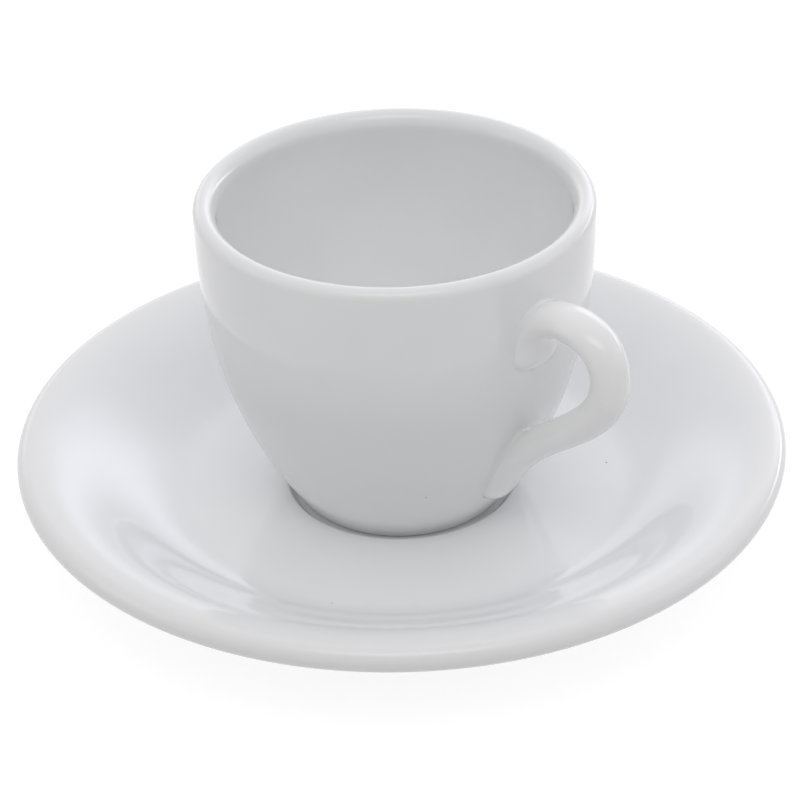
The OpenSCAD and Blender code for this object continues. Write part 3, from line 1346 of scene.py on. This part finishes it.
@dataclass(frozen=True)
class PhotoCamera:
    """The camera, at the photograph's viewing angle.

    Attributes:
        azimuth: Angle of the camera round the object, in degrees from the side of -Y towards +X.
        elevation: Angle above the horizon, in degrees.
        distance: Distance from the point that it looks at.
        look_z: Height of that point, on the axis.
        roll: How far the camera leans to its right, in degrees.
        lens: Focal length in millimetres.
        sensor: Width of the sensor in millimetres.
        near: Distance from which the camera sees things.
        far: Distance up to which it sees them.
    """

    azimuth: float = 47.2
    elevation: float = 31.7
    distance: float = 454 * MM
    look_z: float = 23 * MM
    roll: float = 1.6
    lens: float = 128.95
    sensor: float = 36.0
    near: float = 0.01
    far: float = 50.0

    def towards(self, right: float, back: float, up: float) -> Vector:
        """A direction as the camera sees it, kept level.

        Args:
            right: Share to the camera's right.
            back: Share away from the camera.
            up: Share upwards.

        Returns:
            The direction in the frame.
        """
        a = math.radians(self.azimuth)
        return Vector((
            right * math.cos(a) - back * math.sin(a),
            right * math.sin(a) + back * math.cos(a),
            up,
        ))

    def build(self) -> bpy.types.Object:
        """Makes the camera and has the scene use it.

        Returns:
            The camera.
        """
        data = bpy.data.cameras.new("photo_camera")
        data.lens, data.sensor_width = self.lens, self.sensor
        data.clip_start, data.clip_end = self.near, self.far
        camera = bpy.data.objects.new("photo_camera", data)
        bpy.context.scene.collection.objects.link(camera)
        e = math.radians(self.elevation)
        back = self.towards(0.0, -math.cos(e), math.sin(e))
        lean = Matrix.Rotation(-math.radians(self.roll), 3, "Z")
        turn = back.to_track_quat("Z", "Y").to_matrix() @ lean
        place = Vector((0, 0, self.look_z)) + self.distance * back
        camera.matrix_world = Matrix.LocRotScale(place, turn, None)
        bpy.context.scene.camera = camera
        return camera


@dataclass(frozen=True)
class Softbox:
    """A soft lamp that points at the object.

    Attributes:
        name: Name of the lamp.
        turn: Where it stands, in degrees from straight behind the object towards the camera's right.
        lift: How high it hangs, in degrees above the floor.
        width: Width of its face.
        height: Height of its face.
        power: Power in watts, before its edge fades.
        colour: Colour of its light.
        distance: Distance from the origin.
        fade: Share of its face over which the light fades to the edge.
    """

    name: str
    turn: float
    lift: float
    width: float
    height: float
    power: float
    colour: Colour = (1.0, 1.0, 1.0)
    distance: float = 1.4
    fade: float = 0.5

    def build(self, camera: PhotoCamera) -> bpy.types.Object:
        """Makes the lamp.

        Args:
            camera: Camera that left and right are seen from.

        Returns:
            The lamp.
        """
        data = bpy.data.lights.new(self.name, "AREA")
        data.shape = "RECTANGLE"
        data.size, data.size_y = self.width, self.height
        data.energy, data.color = self.power, self.colour
        lamp = bpy.data.objects.new(self.name, data)
        bpy.context.scene.collection.objects.link(lamp)
        turn, lift = math.radians(self.turn), math.radians(self.lift)
        level = math.cos(lift)
        way = camera.towards(math.sin(turn) * level, math.cos(turn) * level, math.sin(lift))
        lamp.location = self.distance * way
        lamp.rotation_euler = way.to_track_quat("Z", "Y").to_euler()
        lamp.visible_camera = False
        self.soften(data)
        return lamp

    def soften(self, data: bpy.types.Light) -> None:
        """Fades the lamp's face to nothing at its edges: one eased step each way, multiplied.

        Args:
            data: The lamp.
        """
        data.use_nodes = True
        board = Board(data.node_tree)
        place = board.add("NewGeometry").outputs["Parametric"]
        parts = board.add("SeparateXYZ", None, Vector=place).outputs
        steps = []
        for part in (parts[0], parts[1]):
            edge = board.math("MINIMUM", part, board.math("SUBTRACT", 1.0, part))
            steps.append(board.ramp(edge, 0.0, self.fade, 0.0, 1.0))
        glow = board.add("Emission", None, Strength=board.math("MULTIPLY", *steps))
        board.add("OutputLight", None, Surface=glow.outputs[0])


@dataclass(frozen=True)
class Studio:
    """A white tent: a pale floor, an even sky that is brighter overhead, and soft lamps.

    Attributes:
        camera: The camera.
        floor_size: Width of the floor.
        floor_white: Colour of the floor, as it lights the object.
        floor_shown: Colour of the floor where it is seen.
        floor_glow: What the floor shows on top of that, to the camera and in reflections.
        sky_low: Strength of the sky's light at the horizon.
        sky_high: Strength of the sky's light overhead.
        lamps: The soft lamps.
    """

    camera: PhotoCamera = PhotoCamera()
    floor_size: float = 6.0
    floor_white: Colour = (0.80, 0.80, 0.80)
    floor_shown: Colour = (0.25, 0.25, 0.25)
    floor_glow: float = 0.86
    sky_low: float = 0.14
    sky_high: float = 0.95
    lamps: tuple[Softbox, ...] = (
        Softbox("right_window", 26, 21, 1.37, 0.96, 7.3, WINDOW),
        Softbox("high_window", 12, 33, 1.60, 0.54, 0.9, WINDOW),
        Softbox("low_window", 48, 9, 1.13, 0.39, 4.5, DAYLIGHT),
        Softbox("back_window", 0, 17, 1.13, 0.70, 1.75, WINDOW),
        Softbox("left_window", -26, 16, 1.13, 0.70, 2.0, DAYLIGHT),
        Softbox("left_wall", -95, 22, 1.31, 1.13, 3.5, ROOM),
        Softbox("right_wall", 95, 22, 1.31, 1.13, 3.8, DAYLIGHT),
        Softbox("front_lamp", 180, 58, 1.62, 0.75, 6.6, ROOM, fade=0.4),
    )

    def build(self) -> None:
        """Makes the camera, the lamps, the sky and the floor."""
        self.camera.build()
        for lamp in self.lamps:
            lamp.build(self.camera)
        self.sky()
        self.floor()
        bpy.context.scene.view_settings.view_transform = "Standard"

    def seen(self, board: Board) -> bpy.types.NodeSocket:
        """Whether a ray is the camera's, a reflection or a refraction.

        Args:
            board: Node board.

        Returns:
            1 for those rays, and 0 for the light that falls on things.
        """
        path = board.add("LightPath")
        seen = board.math("MAXIMUM", path.outputs["Is Camera Ray"], path.outputs["Is Glossy Ray"])
        return board.math("MAXIMUM", seen, path.outputs["Is Transmission Ray"])

    def sky(self) -> None:
        """Makes the sky: white where it is seen, and brighter overhead than at the horizon as light."""
        world = bpy.data.worlds.new("white_tent")
        world.use_nodes = True
        bpy.context.scene.world = world
        board = Board(world.node_tree)
        way = board.add("TexCoord").outputs["Generated"]
        up = board.add("SeparateXYZ", None, Vector=way).outputs[2]
        strength = board.ramp(up, 0.0, 1.0, self.sky_low, self.sky_high)
        light = board.add("Background", None, Color=DAYLIGHT, Strength=strength)
        shown = board.add("Background", None, Color=(1.0, 1.0, 1.0), Strength=1.0)
        mix = board.add("MixShader", None, Fac=self.seen(board))
        board.feed(mix.inputs[1], light.outputs[0])
        board.feed(mix.inputs[2], shown.outputs[0])
        board.add("OutputWorld", None, Surface=mix.outputs[0])

    def floor(self) -> None:
        """Makes the floor: pale and matt, shown near white with the object's shadow, clear from below."""
        half = 0.5 * self.floor_size
        mesh = bpy.data.meshes.new("floor")
        corners = [(-half, -half, 0.0), (half, -half, 0.0), (half, half, 0.0), (-half, half, 0.0)]
        mesh.from_pydata(corners, [], [(0, 1, 2, 3)])
        floor = bpy.data.objects.new("floor", mesh)
        bpy.context.scene.collection.objects.link(floor)
        material = bpy.data.materials.new("floor_white")
        material.use_nodes = True
        board = Board(material.node_tree)
        seen = self.seen(board)
        colour = board.blend(seen, self.floor_white, self.floor_shown)
        matt = board.add("BsdfDiffuse", None, Color=colour)
        glow = board.add("Emission", None, Strength=board.math("MULTIPLY", seen, self.floor_glow))
        both = board.add("AddShader")
        board.feed(both.inputs[0], matt.outputs[0])
        board.feed(both.inputs[1], glow.outputs[0])
        clear = board.add("BsdfTransparent")
        side = board.add("NewGeometry").outputs["Backfacing"]
        mix = board.add("MixShader", None, Fac=side)
        board.feed(mix.inputs[1], both.outputs[0])
        board.feed(mix.inputs[2], clear.outputs[0])
        board.add("OutputMaterial", None, Surface=mix.outputs[0])
        mesh.materials.append(material)
        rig.stage(floor)


def write_sizes() -> None:
    boxes = {"cad": CAD_BOX, "visual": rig.bounds()}
    corners = {name: [list(low), list(high)] for name, (low, high) in boxes.items()}
    SIZE_FILE.write_text(json.dumps(corners))


def main() -> None:
    """Builds the studio, the saucer and the cup in order, and reports each piece."""
    logging.basicConfig(level=logging.INFO, format="%(name)s: %(message)s")
    Studio().build()
    saucer_glaze = Porcelain("saucer_glaze")
    cup_glaze = Porcelain("cup_glaze", white=(0.873, 0.879, 0.874), pooled_and_shaded=(0.822, 0.832, 0.828))
    seam_glaze = Porcelain("seam_glaze", white=(0.856, 0.858, 0.852))
    Saucer().build(saucer_glaze.material())
    Cup.standard().build(cup_glaze.material(), seam_glaze.material())
    write_sizes()


if __name__ == "__main__":
    main()
